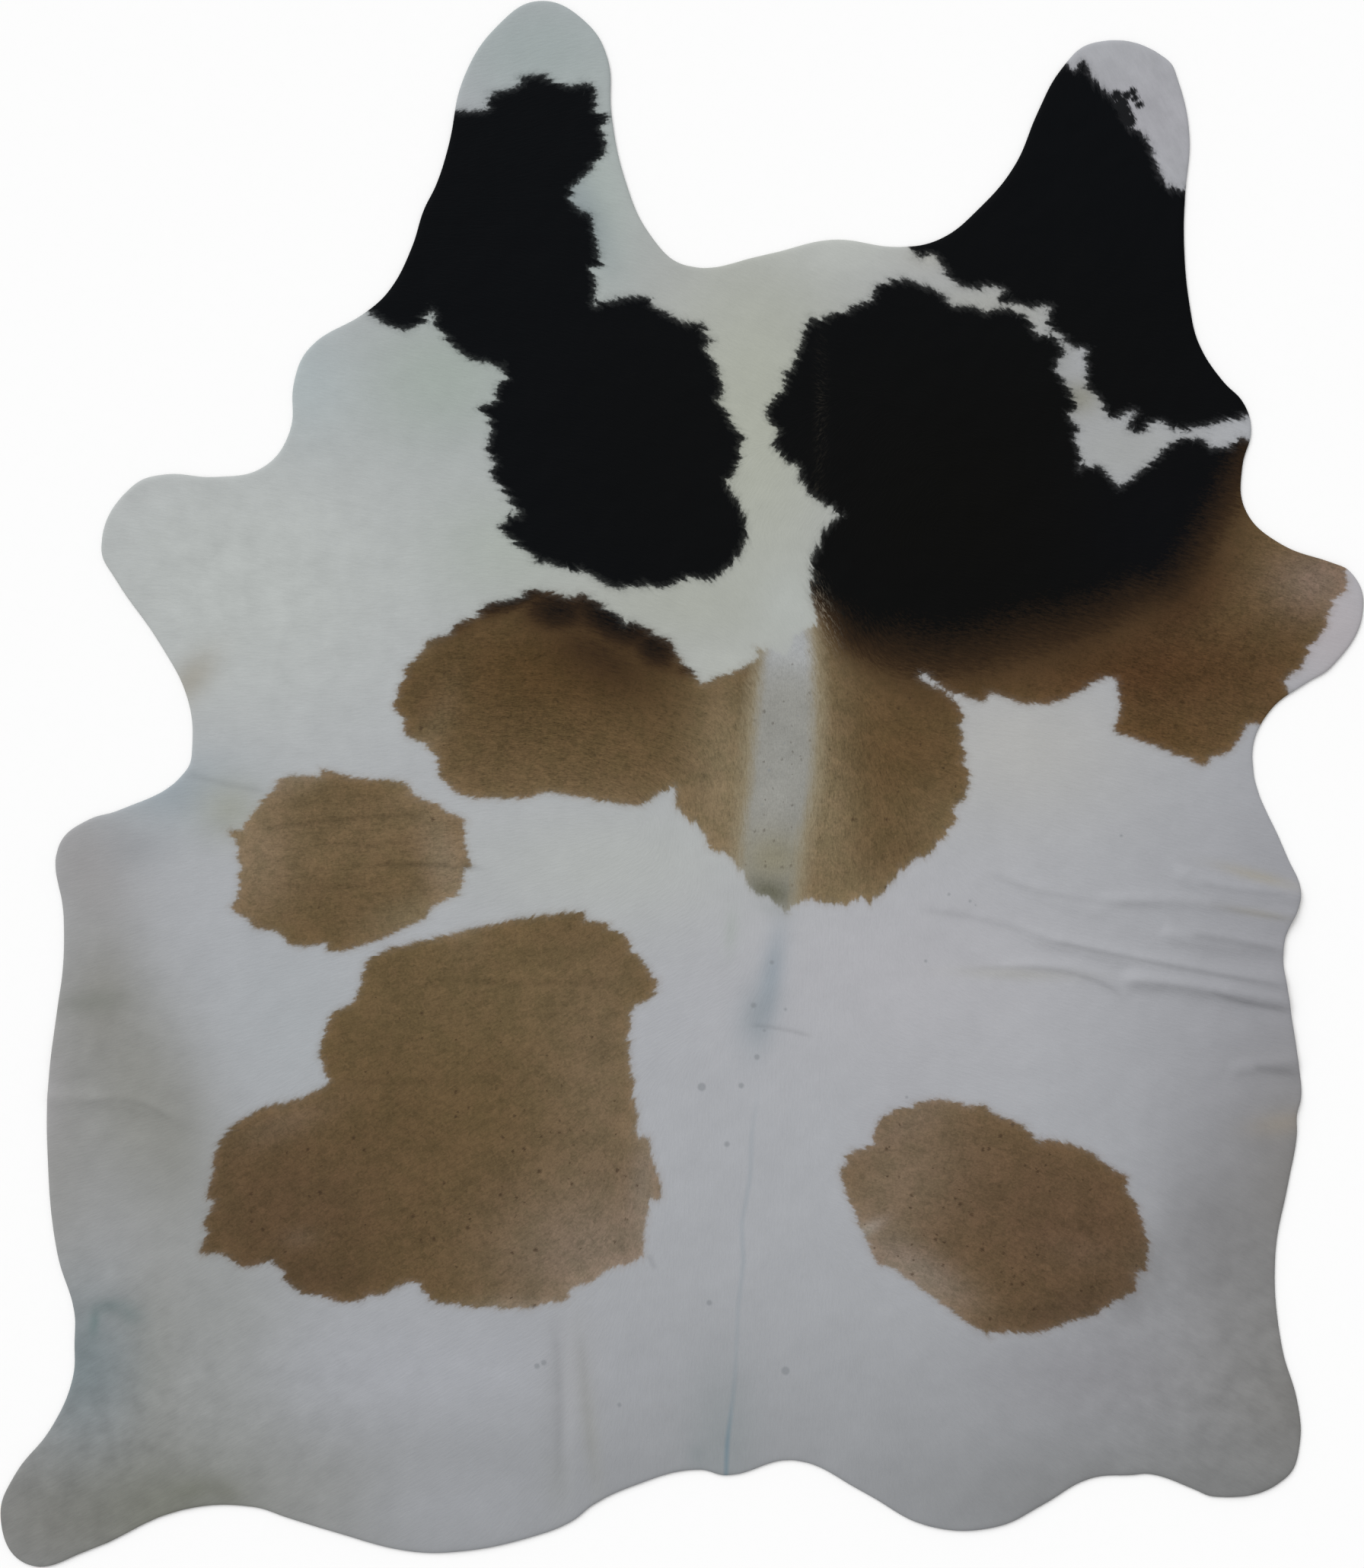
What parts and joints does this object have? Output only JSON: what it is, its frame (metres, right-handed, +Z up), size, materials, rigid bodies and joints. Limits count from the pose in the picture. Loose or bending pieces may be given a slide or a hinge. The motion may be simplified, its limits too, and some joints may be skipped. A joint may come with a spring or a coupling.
{
  "type": "cowhide rug",
  "caption": "Whole hair-on cowhide trimmed as a rug: two forelegs, neck, broad flanks and hind shanks, lying flat with brown and black patches on pale hair.",
  "frame": {"origin": "under the middle of the hide's box, on the floor it lies on", "axes": "+Z up out of the hair side, +Y along the spine towards the neck, +X to the right as seen from above"},
  "size_m": [2.002, 2.3008, 0.0126],
  "materials": {
    "hair_coat": "short flat hair, soft satin",
    "flesh_side": "matt suede"
  },
  "bodies": {
    "root": {"hide": "hair_coat"}
  },
  "joints": []
}
